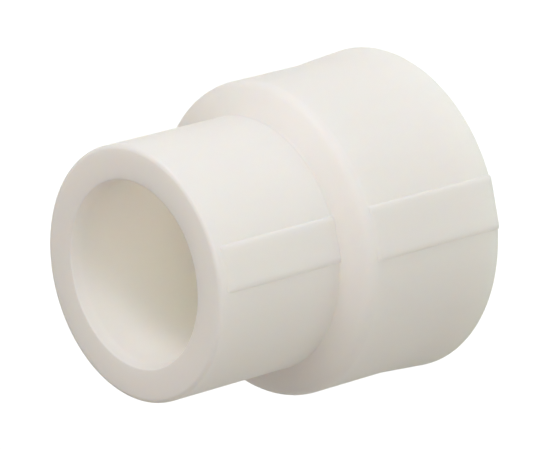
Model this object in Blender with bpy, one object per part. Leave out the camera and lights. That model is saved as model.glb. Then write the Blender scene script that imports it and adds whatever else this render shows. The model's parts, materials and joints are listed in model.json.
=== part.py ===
"""Reducing coupling for socket-fusion plastic pipe, 32 mm to 25 mm, moulded in one piece.

Frame: metres, +Z along the bore. The large socket's face lies on z = 0 with its centre at the
origin, and the small socket's mouth looks up. The flat marking pads face -Y and +Y.
"""

import math

import bmesh
import bpy

MM = 0.001

# Outer shape.
LENGTH = 44.5 * MM
SMALL_RADIUS = 17.0 * MM
SMALL_LENGTH = 20.4 * MM
LARGE_RADIUS = 21.15 * MM
FLARE_RADIUS = 21.85 * MM
FLARE_LENGTH = 8.5 * MM
SHOULDER_SLOPE = math.radians(27)
SHOULDER_ROUNDING = 1.9 * MM
SMALL_RIM_ROUNDING = 0.6 * MM
LARGE_RIM_ROUNDING = 0.3 * MM

# Sockets: each is a little narrower at its root than at its mouth.
SMALL_MOUTH_RADIUS = 12.05 * MM
SMALL_ROOT_RADIUS = 11.95 * MM
SMALL_SOCKET_DEPTH = 20.0 * MM
LARGE_MOUTH_RADIUS = 15.50 * MM
LARGE_ROOT_RADIUS = 15.35 * MM
LARGE_SOCKET_DEPTH = 18.5 * MM
LEAD_IN_WIDTH = 0.45 * MM
LEAD_IN_DEPTH = 1.5 * MM

# Waterway between the two pipe stops: a bore at each end and a cone between them.
SMALL_BORE_RADIUS = 9.3 * MM
SMALL_BORE_LENGTH = 2.6 * MM
LARGE_BORE_RADIUS = 12.6 * MM
LARGE_BORE_LENGTH = 1.6 * MM

# Marking pads: flats that stand just clear of the cylinders, on both sides.
PAD_CLEARANCE = 0.08 * MM
PAD_SINK = 1.5 * MM
SMALL_PAD_WIDTH = 6.1 * MM
SMALL_PAD_SETBACK = 1.2 * MM
LARGE_PAD_WIDTH = 7.2 * MM
LARGE_PAD_TOP = 21.2 * MM

QUARTER = math.pi / 2
TURNED_STEPS = 96
ARC_STEPS = 4
SHARP_ANGLE = math.radians(30)

PLASTIC_COLOUR = (0.86, 0.83, 0.78, 1.0)
PLASTIC_ROUGHNESS = 0.38


def clear_scene():
    for obj in list(bpy.data.objects):
        bpy.data.objects.remove(obj, do_unlink=True)


def arc(centre_x, centre_z, radius, start, end):
    """Points (x, z) of an arc from the start angle to the end angle, in radians."""
    points = []
    for step in range(ARC_STEPS + 1):
        angle = start + (end - start) * step / ARC_STEPS
        points.append((centre_x + radius * math.cos(angle), centre_z + radius * math.sin(angle)))
    return points


def outer_profile():
    """The outside, from the small face down to the large face."""
    shoulder_root = LENGTH - SMALL_LENGTH
    corner_z = shoulder_root - (LARGE_RADIUS - SMALL_RADIUS) * math.tan(SHOULDER_SLOPE)
    tangent = SHOULDER_ROUNDING * math.tan((QUARTER - SHOULDER_SLOPE) / 2)
    rim, rounding = SMALL_RIM_ROUNDING, SHOULDER_ROUNDING
    points = arc(SMALL_RADIUS - rim, LENGTH - rim, rim, QUARTER, 0)
    points.append((SMALL_RADIUS, shoulder_root))
    points += arc(LARGE_RADIUS - rounding, corner_z - tangent, rounding, QUARTER - SHOULDER_SLOPE, 0)
    points.append((LARGE_RADIUS, FLARE_LENGTH))
    rim = LARGE_RIM_ROUNDING
    points += arc(FLARE_RADIUS - rim, rim, rim, 0, -QUARTER)
    return points


def inner_profile():
    """The inside, from the large mouth up to the small mouth."""
    large_stop = LARGE_SOCKET_DEPTH
    small_stop = LENGTH - SMALL_SOCKET_DEPTH
    return [
        (LARGE_MOUTH_RADIUS + LEAD_IN_WIDTH, 0),
        (LARGE_MOUTH_RADIUS, LEAD_IN_DEPTH),
        (LARGE_ROOT_RADIUS, large_stop),
        (LARGE_BORE_RADIUS, large_stop),
        (LARGE_BORE_RADIUS, large_stop + LARGE_BORE_LENGTH),
        (SMALL_BORE_RADIUS, small_stop - SMALL_BORE_LENGTH),
        (SMALL_BORE_RADIUS, small_stop),
        (SMALL_ROOT_RADIUS, small_stop),
        (SMALL_MOUTH_RADIUS, LENGTH - LEAD_IN_DEPTH),
        (SMALL_MOUTH_RADIUS + LEAD_IN_WIDTH, LENGTH),
    ]


def turned_mesh(name, profile):
    """The mesh made by turning a closed profile of (x, z) points once round the Z axis."""
    shape = bmesh.new()
    points = [shape.verts.new((x, 0, z)) for x, z in profile]
    sides = [shape.edges.new((points[i - 1], points[i])) for i in range(len(points))]
    bmesh.ops.spin(
        shape,
        geom=points + sides,
        cent=(0, 0, 0),
        axis=(0, 0, 1),
        angle=2 * math.pi,
        steps=TURNED_STEPS,
        use_merge=True,
    )
    bmesh.ops.recalc_face_normals(shape, faces=shape.faces)
    return finished_mesh(name, shape)


def prism_mesh(name, outline, width):
    """The mesh of a closed outline of (y, z) points, extruded to width along X about x = 0."""
    shape = bmesh.new()
    face = shape.faces.new([shape.verts.new((-width / 2, y, z)) for y, z in outline])
    pulled = bmesh.ops.extrude_face_region(shape, geom=[face])["geom"]
    far_points = [item for item in pulled if isinstance(item, bmesh.types.BMVert)]
    bmesh.ops.translate(shape, verts=far_points, vec=(width, 0, 0))
    bmesh.ops.recalc_face_normals(shape, faces=shape.faces)
    return finished_mesh(name, shape)


def finished_mesh(name, shape):
    mesh = bpy.data.meshes.new(name)
    shape.to_mesh(mesh)
    shape.free()
    mesh.shade_smooth()
    mesh.set_sharp_from_angle(angle=SHARP_ANGLE)
    return mesh


def add_object(name, mesh):
    obj = bpy.data.objects.new(name, mesh)
    bpy.context.scene.collection.objects.link(obj)
    return obj


def small_pad_outline(side):
    """The pad on the small cylinder, which runs on into the shoulder."""
    face = side * (SMALL_RADIUS + PAD_CLEARANCE)
    buried = side * (SMALL_RADIUS - PAD_SINK)
    top = LENGTH - SMALL_PAD_SETBACK
    bottom = LENGTH - SMALL_LENGTH - PAD_SINK
    return [(face, bottom), (face, top), (buried, top), (buried, bottom)]


def large_pad_outline(side):
    """The pad on the large cylinder, which follows the flare down to the rim."""
    face = side * (LARGE_RADIUS + PAD_CLEARANCE)
    flared_face = side * (FLARE_RADIUS + PAD_CLEARANCE)
    buried = side * (LARGE_RADIUS - PAD_SINK)
    return [
        (flared_face, 0),
        (face, FLARE_LENGTH),
        (face, LARGE_PAD_TOP),
        (buried, LARGE_PAD_TOP),
        (buried, 0),
    ]


def join_pad(body, name, outline, width):
    pad = add_object(name, prism_mesh(name, outline, width))
    pad.hide_render = True
    pad.display_type = "WIRE"
    join = body.modifiers.new(name, "BOOLEAN")
    join.operation = "UNION"
    join.solver = "EXACT"
    join.object = pad


def plastic():
    material = bpy.data.materials.new("white_plastic")
    material.use_nodes = True
    shader = material.node_tree.nodes["Principled BSDF"]
    shader.inputs["Base Color"].default_value = PLASTIC_COLOUR
    shader.inputs["Roughness"].default_value = PLASTIC_ROUGHNESS
    shader.inputs["Metallic"].default_value = 0.0
    return material


def main():
    clear_scene()
    profile = outer_profile() + inner_profile()
    body = add_object("coupling_body", turned_mesh("coupling_body", profile))
    body.data.materials.append(plastic())
    for side, place in ((-1, "front"), (1, "back")):
        join_pad(body, f"small_pad_{place}", small_pad_outline(side), SMALL_PAD_WIDTH)
        join_pad(body, f"large_pad_{place}", large_pad_outline(side), LARGE_PAD_WIDTH)


main()
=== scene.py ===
"""Reducing coupling in moulded white polypropylene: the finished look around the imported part."""

import json
import math

import bpy
from mathutils import Matrix, Vector


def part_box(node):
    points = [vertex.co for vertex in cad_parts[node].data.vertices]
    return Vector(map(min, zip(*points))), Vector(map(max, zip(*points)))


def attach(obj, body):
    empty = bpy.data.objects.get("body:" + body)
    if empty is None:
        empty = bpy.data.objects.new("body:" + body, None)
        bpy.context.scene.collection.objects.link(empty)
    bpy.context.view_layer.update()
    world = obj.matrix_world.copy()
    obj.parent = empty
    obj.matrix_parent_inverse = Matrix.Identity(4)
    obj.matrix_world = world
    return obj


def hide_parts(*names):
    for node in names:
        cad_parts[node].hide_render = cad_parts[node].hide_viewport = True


MM = 0.001
QUARTER = math.pi / 2
WHITE = (1, 1, 1, 1)

# Outside, as in the CAD part.
SMALL_RADIUS = 17.0 * MM
SMALL_LENGTH = 20.4 * MM
LARGE_RADIUS = 21.15 * MM
FLARE_LENGTH = 8.5 * MM
SHOULDER_SLOPE = math.radians(27)

# Inside, as in the CAD part.
SMALL_MOUTH_RADIUS = 12.05 * MM
SMALL_ROOT_RADIUS = 11.95 * MM
LARGE_MOUTH_RADIUS = 15.50 * MM
LARGE_ROOT_RADIUS = 15.35 * MM
SMALL_BORE_RADIUS = 9.3 * MM
SMALL_BORE_LENGTH = 2.6 * MM
LARGE_BORE_RADIUS = 12.6 * MM
LARGE_BORE_LENGTH = 1.6 * MM
LEAD_IN_WIDTH = 0.45 * MM
LEAD_IN_DEPTH = 1.5 * MM

# Marking pads, as in the CAD part, and how far below the shoulder's root the small pad's foot lies.
PAD_CLEARANCE = 0.08 * MM
SMALL_PAD_WIDTH = 6.1 * MM
SMALL_PAD_SETBACK = 1.2 * MM
LARGE_PAD_WIDTH = 7.2 * MM
LARGE_PAD_TOP = 21.2 * MM
PAD_FOOT_DEPTH = 0.3 * MM

# Roundings of the moulded edges.
SMALL_RIM_ROUNDING = 0.6 * MM
LARGE_RIM_ROUNDING = 0.35 * MM
MOUTH_ROUNDING = 0.2 * MM
LEAD_IN_BLEND = 2.0 * MM
SHOULDER_ROUNDING = 1.9 * MM
SHOULDER_FILLET = 0.25 * MM
FLARE_BLEND = 25 * MM
STOP_ROUNDING = 0.3 * MM
CONE_BLEND = 1.0 * MM
PAD_EDGE_WIDTH = 0.8 * MM
PAD_EDGE_DEPTH = 0.28 * MM

# Parting line of the mould, a quarter turn from the pads.
PARTING_HEIGHT = 0.03 * MM
PARTING_HALF_WIDTH = 0.16 * MM
PARTING_FADE = 3 * MM
PARTING_COLUMNS = 4

# Fineness of the mesh.
ARC_STEP = math.radians(11)
ARC_LEAST_STEPS = 3
RING_SPACING = 1.0 * MM
SUPPORT = 0.1 * MM
STEP_WALL = 0.02 * MM
FOOT_GAP = 0.25 * MM
RING_TOLERANCE = 0.005 * MM
PAD_COLUMNS = 5
ROUNDING_COLUMNS = 6
TURN_COLUMNS = 38

# White plastic: its colours, how far light goes in, and its satin surface.
PLASTIC_WHITE = (0.957, 0.942, 0.91, 1)
PLASTIC_PINK = (0.958, 0.935, 0.907, 1)
PLASTIC_GREY = (0.936, 0.923, 0.892, 1)
PLASTIC_SHEEN = (0.44, 0.56)
PLASTIC_IOR = 1.45
SCATTER_SHARE = 0.8
SCATTER_TINT = (1.0, 0.85, 0.7)
SCATTER_DEPTH = 3.5 * MM
CLOUD_SIZE = 14 * MM
CLOUD_DETAIL = 3.0
CLOUD_RANGE = (0.45, 0.75)
STREAK_SIZE = 5 * MM
STREAK_DETAIL = 4.0
STREAK_STRETCH = (1, 1, 0.25)
STREAK_RANGE = (0.5, 0.8)
SHEEN_RANGE = (0.3, 0.7)
WAVE_SIZE = 2.5 * MM
WAVE_DEPTH = 0.006 * MM
GRAIN_SIZE = 0.22 * MM
GRAIN_DEPTH = 0.003 * MM
RELIEF_DETAIL = 2.0

# Camera.
VIEW_AZIMUTH = math.radians(8.1)
VIEW_ELEVATION = math.radians(39.94)
VIEW_ROLL = math.radians(-105.01)
VIEW_DISTANCE = 658.3 * MM
VIEW_TARGET = Vector((1.44, 0.21, 19.36)) * MM
LENS = 327.3
SENSOR_WIDTH = 36.0

# Stage: a white floor and soft lights. Each light has an azimuth from -Y towards +X and an elevation in
# degrees, a distance and a size in metres, a strength and a colour.
FLOOR_REACH = 3.0
FLOOR_GAP = 0.02 * MM
FLOOR_COLOUR = (0.8, 0.8, 0.8, 1)
FLOOR_GLOW = 0.19
FLOOR_GLOW_COLOUR = (0.88, 1.0, 0.87, 1)
FLOOR_WHITE = 1.25
FLOOR_SHADOW = 0.25
WORLD_GLOW = 0.1
BOUNCES = 16
LAMP_WATTS = 11.1
SOFTBOXES = (
    ("key", 77.0, 23.85, 0.6, 0.2, 0.203, (1.0, 0.93, 0.95)),
    ("upper", 60.0, 25.0, 0.9, 0.4, 0.108, (0.92, 0.87, 1.0)),
    ("upper_front", 30.0, 25.0, 0.9, 0.4, 0.068, (0.65, 0.87, 1.0)),
    ("high_upper", 45.0, 45.0, 0.9, 0.4, 0.12, (1.0, 0.95, 0.72)),
    ("high_front", 0.0, 45.0, 0.9, 0.4, 0.111, (1.0, 0.94, 0.9)),
    ("high_lower", -45.0, 45.0, 0.9, 0.4, 0.124, (1.0, 0.81, 0.67)),
    ("lower", -90.0, 45.0, 0.9, 0.4, 0.025, (1.0, 0.83, 0.72)),
    ("high_back", 135.0, 45.0, 0.9, 0.4, 0.065, (1.0, 0.87, 0.9)),
    ("back", 150.0, 25.0, 0.9, 0.4, 0.072, (1.0, 0.9, 0.5)),
    ("behind", 190.0, 12.0, 0.9, 0.26, 0.05, (1.0, 0.97, 0.93)),
)


# Outline of the turned shape: a closed list of (radius, height) points, outside first.


def rounded_corner(before, corner, after, radius):
    """The arc that rounds a corner of an outline, with a support point on each leg."""
    back = (before - corner).normalized()
    ahead = (after - corner).normalized()
    turn = math.pi - back.angle(ahead)
    tangent = radius * math.tan(turn / 2)
    start = corner + back * tangent
    centre = corner + (back + ahead).normalized() * (radius / math.cos(turn / 2))
    turn *= 1 if ahead.cross(back) > 0 else -1
    steps = max(ARC_LEAST_STEPS, math.ceil(abs(turn) / ARC_STEP))
    arc = [centre + Matrix.Rotation(turn * k / steps, 2) @ (start - centre) for k in range(steps + 1)]
    return [start + back * SUPPORT] + arc + [corner + ahead * (tangent + SUPPORT)]


def rounded_outline(corners):
    """An open outline through (radius, height, rounding) corners, with rings close enough to bend."""
    places = [Vector(corner[:2]) for corner in corners]
    points = [places[0]]
    for i in range(1, len(corners) - 1):
        rounding = corners[i][2]
        if rounding:
            points += rounded_corner(*places[i - 1 : i + 2], rounding)
        else:
            points.append(places[i])
    points.append(places[-1])
    outline = []
    for here, there in zip(points, points[1:]):
        pieces = max(1, math.ceil((there - here).length / RING_SPACING))
        outline += [here.lerp(there, k / pieces) for k in range(pieces)]
    return outline


def with_rings_at(outline, heights):
    """The outline with more points, where it passes these heights."""
    finer = []
    for here, there in zip(outline, outline[1:]):
        finer.append(here)
        for height in sorted((z for z in heights if there.y < z < here.y), reverse=True):
            finer.append(here.lerp(there, (here.y - height) / (here.y - there.y)))
    return finer + outline[-1:]


def pad_end_heights(end):
    """Heights of the rings that round off a pad's upper end, from just above it down."""
    steps = ROUNDING_COLUMNS
    rounding = [end - PAD_EDGE_WIDTH * (1 - math.cos(QUARTER * k / steps)) for k in range(steps + 1)]
    return [end + SUPPORT, end + STEP_WALL] + rounding + [end - PAD_EDGE_WIDTH - SUPPORT]


def shoulder_height(size, radius):
    return size["shoulder_root"] - (radius - SMALL_RADIUS) * math.tan(SHOULDER_SLOPE)


def outer_outline(size):
    """From the middle of the small face down the outside to the middle of the large face."""
    corners = [
        ((SMALL_RADIUS + SMALL_MOUTH_RADIUS) / 2, size["length"], 0),
        (SMALL_RADIUS, size["length"], SMALL_RIM_ROUNDING),
        (SMALL_RADIUS, size["shoulder_root"], SHOULDER_FILLET),
        (LARGE_RADIUS, size["shoulder_rim"], SHOULDER_ROUNDING),
        (LARGE_RADIUS, FLARE_LENGTH, FLARE_BLEND),
        (size["flare_radius"], 0, LARGE_RIM_ROUNDING),
        ((size["flare_radius"] + LARGE_MOUTH_RADIUS) / 2, 0, 0),
    ]
    pad_corner = math.hypot(SMALL_PAD_WIDTH / 2, SMALL_RADIUS + PAD_CLEARANCE)
    pad_foot = [shoulder_height(size, pad_corner + gap) for gap in (-STEP_WALL, STEP_WALL, SUPPORT)]
    heights = pad_foot + pad_end_heights(size["small_pad_top"]) + pad_end_heights(LARGE_PAD_TOP)
    return with_rings_at(rounded_outline(corners), heights)


def inner_outline(size):
    """From the middle of the large face up the inside to the middle of the small face."""
    corners = [
        ((size["flare_radius"] + LARGE_MOUTH_RADIUS) / 2, 0, 0),
        (LARGE_MOUTH_RADIUS + LEAD_IN_WIDTH, 0, MOUTH_ROUNDING),
        (LARGE_MOUTH_RADIUS, LEAD_IN_DEPTH, LEAD_IN_BLEND),
        (LARGE_ROOT_RADIUS, size["large_stop"], STOP_ROUNDING),
        (LARGE_BORE_RADIUS, size["large_stop"], STOP_ROUNDING),
        (LARGE_BORE_RADIUS, size["large_stop"] + LARGE_BORE_LENGTH, CONE_BLEND),
        (SMALL_BORE_RADIUS, size["small_stop"] - SMALL_BORE_LENGTH, CONE_BLEND),
        (SMALL_BORE_RADIUS, size["small_stop"], STOP_ROUNDING),
        (SMALL_ROOT_RADIUS, size["small_stop"], STOP_ROUNDING),
        (SMALL_MOUTH_RADIUS, size["length"] - LEAD_IN_DEPTH, LEAD_IN_BLEND),
        (SMALL_MOUTH_RADIUS + LEAD_IN_WIDTH, size["length"], MOUTH_ROUNDING),
        ((SMALL_RADIUS + SMALL_MOUTH_RADIUS) / 2, size["length"], 0),
    ]
    return rounded_outline(corners)


def coupling_size(record):
    """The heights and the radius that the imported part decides."""
    low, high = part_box("coupling_body")
    stops = {mount["name"]: mount["pos_m"][2] for mount in record["mounts"]}
    size = {"length": high.z, "flare_radius": high.x}
    size["small_stop"] = stops["small_pipe_stop"]
    size["large_stop"] = stops["large_pipe_stop"]
    size["small_pad_top"] = high.z - SMALL_PAD_SETBACK
    size["shoulder_root"] = high.z - SMALL_LENGTH
    size["shoulder_rim"] = shoulder_height(size, LARGE_RADIUS)
    size["small_pad_foot"] = size["shoulder_root"] - PAD_FOOT_DEPTH
    return size


# Skin: the outline turned about Z, with the pads and the parting line raised on its outside.


def smooth_step(value):
    """0 below 0, 1 above 1, and a smooth S between."""
    value = min(1.0, max(0.0, value))
    return value * value * (3 - 2 * value)


def pad_at(size, radius, height):
    """The pad's half width and its distance from the axis, at a ring of the outside."""
    small = (SMALL_PAD_WIDTH / 2, SMALL_RADIUS + PAD_CLEARANCE)
    large = (LARGE_PAD_WIDTH / 2, max(radius, LARGE_RADIUS) + PAD_CLEARANCE)
    share = smooth_step((height - LARGE_PAD_TOP) / (size["small_pad_foot"] - LARGE_PAD_TOP))
    return tuple(a + share * (b - a) for a, b in zip(large, small))


def pad_drop(size, height):
    """How much the rounding at a pad's upper end lowers it, or None where there is no pad."""
    for top, foot in ((size["small_pad_top"], size["small_pad_foot"]), (LARGE_PAD_TOP, 0)):
        if foot <= height <= top + RING_TOLERANCE:
            inward = max(0.0, 1 - (top - height) / PAD_EDGE_WIDTH)
            return PAD_EDGE_DEPTH * (1 - math.sqrt(max(0.0, 1 - inward**2)))
    return None


def pad_points(size, radius, height):
    """A ring's points from the pad's middle to its foot, as (angle, radius)."""
    half_width, distance = pad_at(size, radius, height)
    drop = pad_drop(size, height)
    flat = half_width - PAD_EDGE_WIDTH
    across_and_out = [(flat * k / PAD_COLUMNS, distance) for k in range(PAD_COLUMNS + 1)]
    for k in range(1, ROUNDING_COLUMNS + 1):
        angle = QUARTER * k / ROUNDING_COLUMNS
        across = flat + PAD_EDGE_WIDTH * math.sin(angle)
        across_and_out.append((across, distance - PAD_EDGE_DEPTH * (1 - math.cos(angle))))
    points = []
    for across, out in across_and_out:
        raised = 0 if drop is None else math.hypot(across, out - drop)
        points.append((math.atan2(across, out), max(radius, raised)))
    foot = max(math.asin(half_width / radius), points[-1][0] + STEP_WALL / radius)
    return points + [(foot, radius)]


def parting_points(size, radius, height):
    """A ring's points from the edge of the parting line to its crest, as (angle, radius)."""
    ridge = PARTING_HALF_WIDTH / radius
    ends = smooth_step(height / PARTING_FADE) * smooth_step((size["length"] - height) / PARTING_FADE)
    points = []
    for k in range(PARTING_COLUMNS, -1, -1):
        share = k / PARTING_COLUMNS
        bulge = PARTING_HEIGHT * ends * math.cos(QUARTER * share)
        points.append((QUARTER - ridge * share, radius + bulge))
    return points


def section(size, radius, height):
    """A quarter of one outer ring, as (angle from the pad's middle, radius) points."""
    pad = pad_points(size, radius, height)
    foot = pad[-1][0]
    start = foot + FOOT_GAP / radius
    end = QUARTER - 2 * PARTING_HALF_WIDTH / radius
    round_side = [(start + (end - start) * k / TURN_COLUMNS, radius) for k in range(TURN_COLUMNS + 1)]
    return pad + [(foot + SUPPORT / radius, radius)] + round_side + parting_points(size, radius, height)


def whole_turn(quarter):
    """The four mirrored quarters of a ring, once round."""
    half = quarter + [(math.pi - angle, radius) for angle, radius in reversed(quarter[:-1])]
    return half[:-1] + [(angle + math.pi, radius) for angle, radius in half[:-1]]


def coupling_mesh(size):
    outer = outer_outline(size)
    inner = inner_outline(size)
    rings = [whole_turn(section(size, ring.x, ring.y)) for ring in outer]
    rings += [[(angle, ring.x) for angle, _ in rings[0]] for ring in inner]
    heights = [ring.y for ring in outer + inner]
    columns = len(rings[0])
    vertices = []
    for ring, height in zip(rings, heights):
        for angle, radius in ring:
            vertices.append((radius * math.sin(angle), -radius * math.cos(angle), height))
    faces = []
    for i in range(len(rings)):
        here = i * columns
        after = (i + 1) % len(rings) * columns
        for j in range(columns):
            beside = (j + 1) % columns
            faces.append((here + j, after + j, after + beside, here + beside))
    mesh = bpy.data.meshes.new("coupling_skin")
    mesh.from_pydata(vertices, [], faces)
    mesh.validate()
    mesh.shade_smooth()
    return mesh


# Materials


def new_material(name):
    material = bpy.data.materials.new(name)
    material.use_nodes = True
    tree = material.node_tree
    return material, tree.nodes, tree.links, tree.nodes["Principled BSDF"]


def add_noise(nodes, links, place, size, detail=RELIEF_DETAIL, stretch=(1, 1, 1)):
    """A noise over the part whose features are about this size, longer where stretch is below 1."""
    mapping = nodes.new("ShaderNodeMapping")
    mapping.inputs["Scale"].default_value = stretch
    links.new(place, mapping.inputs["Vector"])
    noise = nodes.new("ShaderNodeTexNoise")
    noise.inputs["Scale"].default_value = 1 / size
    noise.inputs["Detail"].default_value = detail
    links.new(mapping.outputs["Vector"], noise.inputs["Vector"])
    return noise.outputs["Fac"]


def add_ramp(nodes, links, value, taken, given):
    """The value's (low, high) range taken, spread over the range given."""
    ramp = nodes.new("ShaderNodeMapRange")
    ramp.inputs["From Min"].default_value, ramp.inputs["From Max"].default_value = taken
    ramp.inputs["To Min"].default_value, ramp.inputs["To Max"].default_value = given
    links.new(value, ramp.inputs["Value"])
    return ramp.outputs["Result"]


def add_tint(nodes, links, share, base, colour):
    """The base colour turned towards another by a share that varies over the surface."""
    mix = nodes.new("ShaderNodeMix")
    mix.data_type = "RGBA"
    links.new(share, mix.inputs["Factor"])
    links.new(base, mix.inputs["A"])
    mix.inputs["B"].default_value = colour
    return mix.outputs["Result"]


def add_relief(nodes, links, height, depth, below=None):
    """A bump this deep, laid over another."""
    bump = nodes.new("ShaderNodeBump")
    bump.inputs["Distance"].default_value = depth
    links.new(height, bump.inputs["Height"])
    if below:
        links.new(below, bump.inputs["Normal"])
    return bump.outputs["Normal"]


def moulded_plastic():
    """White polypropylene: it lets light in a little, is faintly clouded, and has a fine satin grain."""
    material, nodes, links, shader = new_material("moulded_plastic")
    place = nodes.new("ShaderNodeTexCoord").outputs["Object"]
    white = nodes.new("ShaderNodeRGB").outputs["Color"]
    white.default_value = PLASTIC_WHITE
    clouds = add_noise(nodes, links, place, CLOUD_SIZE, CLOUD_DETAIL)
    pink = add_ramp(nodes, links, clouds, CLOUD_RANGE, (0, 1))
    colour = add_tint(nodes, links, pink, white, PLASTIC_PINK)
    streaks = add_noise(nodes, links, place, STREAK_SIZE, STREAK_DETAIL, STREAK_STRETCH)
    grey = add_ramp(nodes, links, streaks, STREAK_RANGE, (0, 1))
    colour = add_tint(nodes, links, grey, colour, PLASTIC_GREY)
    links.new(colour, shader.inputs["Base Color"])
    gloss = add_ramp(nodes, links, streaks, SHEEN_RANGE, PLASTIC_SHEEN)
    links.new(gloss, shader.inputs["Roughness"])
    waves = add_relief(nodes, links, add_noise(nodes, links, place, WAVE_SIZE), WAVE_DEPTH)
    grain = add_relief(nodes, links, add_noise(nodes, links, place, GRAIN_SIZE), GRAIN_DEPTH, waves)
    links.new(grain, shader.inputs["Normal"])
    shader.inputs["IOR"].default_value = PLASTIC_IOR
    shader.inputs["Subsurface Weight"].default_value = SCATTER_SHARE
    shader.inputs["Subsurface Radius"].default_value = SCATTER_TINT
    shader.inputs["Subsurface Scale"].default_value = SCATTER_DEPTH
    return material


def add_coupling(size):
    skin = bpy.data.objects.new("coupling_skin", coupling_mesh(size))
    bpy.context.scene.collection.objects.link(skin)
    skin.data.materials.append(moulded_plastic())
    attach(skin, "root")
    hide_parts("coupling_body")


def seen_and_lighting(nodes, links, seen, lighting, surface):
    """What the camera sees of a stage surface, and the dimmer light that the part gets from it."""
    mix = nodes.new("ShaderNodeMixShader")
    links.new(nodes.new("ShaderNodeLightPath").outputs["Is Camera Ray"], mix.inputs["Fac"])
    links.new(lighting, mix.inputs[1])
    links.new(seen, mix.inputs[2])
    links.new(mix.outputs["Shader"], surface)


def floor_white():
    """White floor that lights the part a little from below. The camera sees it as plain white."""
    material, nodes, links, shader = new_material("floor_white")
    shader.inputs["Base Color"].default_value = FLOOR_COLOUR
    shader.inputs["Roughness"].default_value = 1.0
    shader.inputs["Emission Color"].default_value = FLOOR_GLOW_COLOUR
    shader.inputs["Emission Strength"].default_value = FLOOR_GLOW
    white = nodes.new("ShaderNodeEmission")
    white.inputs["Strength"].default_value = FLOOR_WHITE
    seen = nodes.new("ShaderNodeMixShader")
    seen.inputs["Fac"].default_value = FLOOR_SHADOW
    links.new(white.outputs["Emission"], seen.inputs[1])
    links.new(shader.outputs["BSDF"], seen.inputs[2])
    surface = nodes["Material Output"].inputs["Surface"]
    seen_and_lighting(nodes, links, seen.outputs["Shader"], shader.outputs["BSDF"], surface)
    return material


def add_floor():
    mesh = bpy.data.meshes.new("floor")
    sides = ((-1, -1), (1, -1), (1, 1), (-1, 1))
    corners = [(x * FLOOR_REACH, y * FLOOR_REACH, -FLOOR_GAP) for x, y in sides]
    mesh.from_pydata(corners, [], [range(len(corners))])
    mesh.materials.append(floor_white())
    floor = bpy.data.objects.new("floor", mesh)
    bpy.context.scene.collection.objects.link(floor)


def direction(azimuth, elevation):
    """Unit vector from the part towards a place at this azimuth (from -Y towards +X) and elevation."""
    level = math.cos(elevation)
    return Vector((level * math.sin(azimuth), -level * math.cos(azimuth), math.sin(elevation)))


def add_camera():
    camera = bpy.data.objects.new("camera", bpy.data.cameras.new("camera"))
    camera.data.lens = LENS
    camera.data.sensor_width = SENSOR_WIDTH
    back = direction(VIEW_AZIMUTH, VIEW_ELEVATION)
    right = Vector((math.cos(VIEW_AZIMUTH), math.sin(VIEW_AZIMUTH), 0))
    upright = Matrix((right, back.cross(right), back)).transposed()
    turned = upright @ Matrix.Rotation(VIEW_ROLL, 3, "Z")
    camera.matrix_world = Matrix.Translation(VIEW_TARGET + back * VIEW_DISTANCE) @ turned.to_4x4()
    bpy.context.scene.collection.objects.link(camera)
    bpy.context.scene.camera = camera


def add_softbox(name, azimuth, elevation, distance, size, strength, colour):
    lamp = bpy.data.lights.new(name, "AREA")
    lamp.shape = "DISK"
    lamp.size = size
    lamp.energy = strength * LAMP_WATTS * distance**2
    lamp.color = colour
    box = bpy.data.objects.new(name, lamp)
    towards = direction(math.radians(azimuth), math.radians(elevation))
    box.location = VIEW_TARGET + towards * distance
    box.rotation_euler = towards.to_track_quat("Z", "Y").to_euler()
    bpy.context.scene.collection.objects.link(box)


def add_world():
    world = bpy.data.worlds.new("studio")
    bpy.context.scene.world = world
    world.use_nodes = True
    nodes = world.node_tree.nodes
    background = nodes["Background"]
    background.inputs["Color"].default_value = WHITE
    background.inputs["Strength"].default_value = WORLD_GLOW
    white = nodes.new("ShaderNodeBackground")
    white.inputs["Color"].default_value = WHITE
    surface = nodes["World Output"].inputs["Surface"]
    seen = white.outputs["Background"]
    lighting = background.outputs["Background"]
    seen_and_lighting(nodes, world.node_tree.links, seen, lighting, surface)


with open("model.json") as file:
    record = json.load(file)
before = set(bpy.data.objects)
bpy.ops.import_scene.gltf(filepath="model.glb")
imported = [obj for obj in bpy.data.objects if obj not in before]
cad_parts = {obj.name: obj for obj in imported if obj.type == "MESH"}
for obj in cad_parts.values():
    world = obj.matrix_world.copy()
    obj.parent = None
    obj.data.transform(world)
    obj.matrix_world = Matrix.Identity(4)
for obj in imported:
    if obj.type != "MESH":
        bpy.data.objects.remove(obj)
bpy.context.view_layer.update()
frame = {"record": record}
bpy.context.scene.view_settings.view_transform = "Standard"
bpy.context.scene.cycles.max_bounces = BOUNCES
bpy.context.scene.cycles.diffuse_bounces = BOUNCES
add_camera()
add_coupling(coupling_size(frame["record"]))
add_floor()
add_world()
for softbox in SOFTBOXES:
    add_softbox(*softbox)
